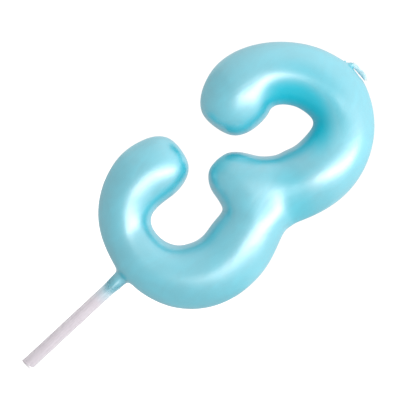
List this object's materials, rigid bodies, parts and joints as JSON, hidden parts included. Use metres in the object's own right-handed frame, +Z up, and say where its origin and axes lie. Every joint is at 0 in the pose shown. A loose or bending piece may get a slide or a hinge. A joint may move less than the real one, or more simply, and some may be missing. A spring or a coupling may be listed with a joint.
{
  "type": "number birthday candle",
  "caption": "Rounded number 3 wax candle with a pearl dip coat on a hollow plastic stick, with a short folded wick that can be raised.",
  "frame": {"origin": "on the stick's axis where the coat ends and the bare stick begins", "axes": "+Z up along the stick, front of the number towards -Y, +X to the right as the number is read"},
  "size_m": [0.0418, 0.016, 0.1012],
  "materials": {
    "wax": "dyed paraffin wax, satin",
    "pearl_coat": "pearl dip, soft gloss",
    "stick": "milky clear polypropylene tube",
    "cotton": "waxed braided cotton",
    "wick_coat": "thin pearl dip"
  },
  "bodies": {
    "candle": {"wax_core": "wax", "pearl_coat": "pearl_coat", "stick": "stick", "wick_root": "cotton"},
    "wick": {"wick_end": "cotton", "wick_coat": "wick_coat"}
  },
  "joints": [
    {"name": "wick_lift", "type": "hinge", "parent": "candle", "child": "wick", "pos_m": [0.0003, 0, 0.07734], "axis": [0, -1, 0], "range_deg": [0, 80]}
  ]
}
